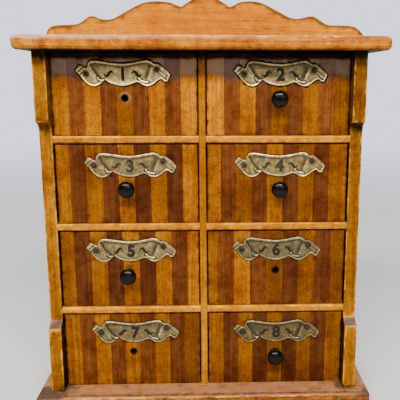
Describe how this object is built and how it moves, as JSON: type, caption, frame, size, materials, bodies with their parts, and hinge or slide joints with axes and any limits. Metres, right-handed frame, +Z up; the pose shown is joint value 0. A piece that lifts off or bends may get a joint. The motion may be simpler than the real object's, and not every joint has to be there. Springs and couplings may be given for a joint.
{
  "type": "spice cabinet with drawers",
  "caption": "Small standing wooden cabinet with two columns of sliding drawers, striped fronts, scroll label plates, turned knobs and a scalloped crest.",
  "frame": {"origin": "bottom centre of the bounding box, on the underside of the base board", "axes": "+Z up, +X to the right seen from the front, the drawers open towards -Y"},
  "size_m": [0.282, 0.0966, 0.3368],
  "materials": {
    "case_wood": "old shellac over light hardwood, worn pale on the edges",
    "shelf_wood": "old shellac over light hardwood, front edge rubbed bright",
    "top_wood": "old shellac, scratched and rubbed on the front edge",
    "crest_wood": "old shellac, satin",
    "base_wood": "old shellac, dusty and scuffed",
    "back_wood": "bare wood gone brown, dull",
    "light_strip_wood": "old shellac over light wood, satin",
    "dark_strip_wood": "old shellac over red-brown wood, satin",
    "drawer_box_wood": "bare planed wood, dull",
    "drawer_bottom_wood": "bare planed wood, dull",
    "label_metal": "stamped sheet, plating worn and tarnished in the hollows",
    "knob_black": "turned wood, black lacquer, glossy",
    "nail_iron": "rusted dark iron"
  },
  "bodies": {
    "case": {"case_side_left": "case_wood", "case_side_right": "case_wood", "top_board": "top_wood", "base_board": "base_wood", "back_board": "back_wood", "divider": "shelf_wood", "crest": "crest_wood", "case_nails": "nail_iron", "left_shelf_1": "shelf_wood", "left_shelf_2": "shelf_wood", "left_shelf_3": "shelf_wood", "right_shelf_1": "shelf_wood", "right_shelf_2": "shelf_wood", "right_shelf_3": "shelf_wood"},
    "left_drawer_1": {"left_drawer_1_light_strips": "light_strip_wood", "left_drawer_1_dark_strips": "dark_strip_wood", "left_drawer_1_box": "drawer_box_wood", "left_drawer_1_bottom": "drawer_bottom_wood", "left_drawer_1_label": "label_metal"},
    "left_drawer_2": {"left_drawer_2_light_strips": "light_strip_wood", "left_drawer_2_dark_strips": "dark_strip_wood", "left_drawer_2_box": "drawer_box_wood", "left_drawer_2_bottom": "drawer_bottom_wood", "left_drawer_2_label": "label_metal", "left_drawer_2_knob": "knob_black"},
    "left_drawer_3": {"left_drawer_3_light_strips": "light_strip_wood", "left_drawer_3_dark_strips": "dark_strip_wood", "left_drawer_3_box": "drawer_box_wood", "left_drawer_3_bottom": "drawer_bottom_wood", "left_drawer_3_label": "label_metal", "left_drawer_3_knob": "knob_black"},
    "left_drawer_4": {"left_drawer_4_light_strips": "light_strip_wood", "left_drawer_4_dark_strips": "dark_strip_wood", "left_drawer_4_box": "drawer_box_wood", "left_drawer_4_bottom": "drawer_bottom_wood", "left_drawer_4_label": "label_metal"},
    "right_drawer_1": {"right_drawer_1_light_strips": "light_strip_wood", "right_drawer_1_dark_strips": "dark_strip_wood", "right_drawer_1_box": "drawer_box_wood", "right_drawer_1_bottom": "drawer_bottom_wood", "right_drawer_1_label": "label_metal", "right_drawer_1_knob": "knob_black"},
    "right_drawer_2": {"right_drawer_2_light_strips": "light_strip_wood", "right_drawer_2_dark_strips": "dark_strip_wood", "right_drawer_2_box": "drawer_box_wood", "right_drawer_2_bottom": "drawer_bottom_wood", "right_drawer_2_label": "label_metal", "right_drawer_2_knob": "knob_black"},
    "right_drawer_3": {"right_drawer_3_light_strips": "light_strip_wood", "right_drawer_3_dark_strips": "dark_strip_wood", "right_drawer_3_box": "drawer_box_wood", "right_drawer_3_bottom": "drawer_bottom_wood", "right_drawer_3_label": "label_metal"},
    "right_drawer_4": {"right_drawer_4_light_strips": "light_strip_wood", "right_drawer_4_dark_strips": "dark_strip_wood", "right_drawer_4_box": "drawer_box_wood", "right_drawer_4_bottom": "drawer_bottom_wood", "right_drawer_4_label": "label_metal", "right_drawer_4_knob": "knob_black"}
  },
  "joints": [
    {"name": "left_drawer_1_slide", "type": "slide", "parent": "case", "child": "left_drawer_1", "axis": [0, -1, 0], "range_m": [0, 0.05]},
    {"name": "left_drawer_2_slide", "type": "slide", "parent": "case", "child": "left_drawer_2", "axis": [0, -1, 0], "range_m": [0, 0.05]},
    {"name": "left_drawer_3_slide", "type": "slide", "parent": "case", "child": "left_drawer_3", "axis": [0, -1, 0], "range_m": [0, 0.05]},
    {"name": "left_drawer_4_slide", "type": "slide", "parent": "case", "child": "left_drawer_4", "axis": [0, -1, 0], "range_m": [0, 0.05]},
    {"name": "right_drawer_1_slide", "type": "slide", "parent": "case", "child": "right_drawer_1", "axis": [0, -1, 0], "range_m": [0, 0.05]},
    {"name": "right_drawer_2_slide", "type": "slide", "parent": "case", "child": "right_drawer_2", "axis": [0, -1, 0], "range_m": [0, 0.05]},
    {"name": "right_drawer_3_slide", "type": "slide", "parent": "case", "child": "right_drawer_3", "axis": [0, -1, 0], "range_m": [0, 0.05]},
    {"name": "right_drawer_4_slide", "type": "slide", "parent": "case", "child": "right_drawer_4", "axis": [0, -1, 0], "range_m": [0, 0.05]}
  ]
}
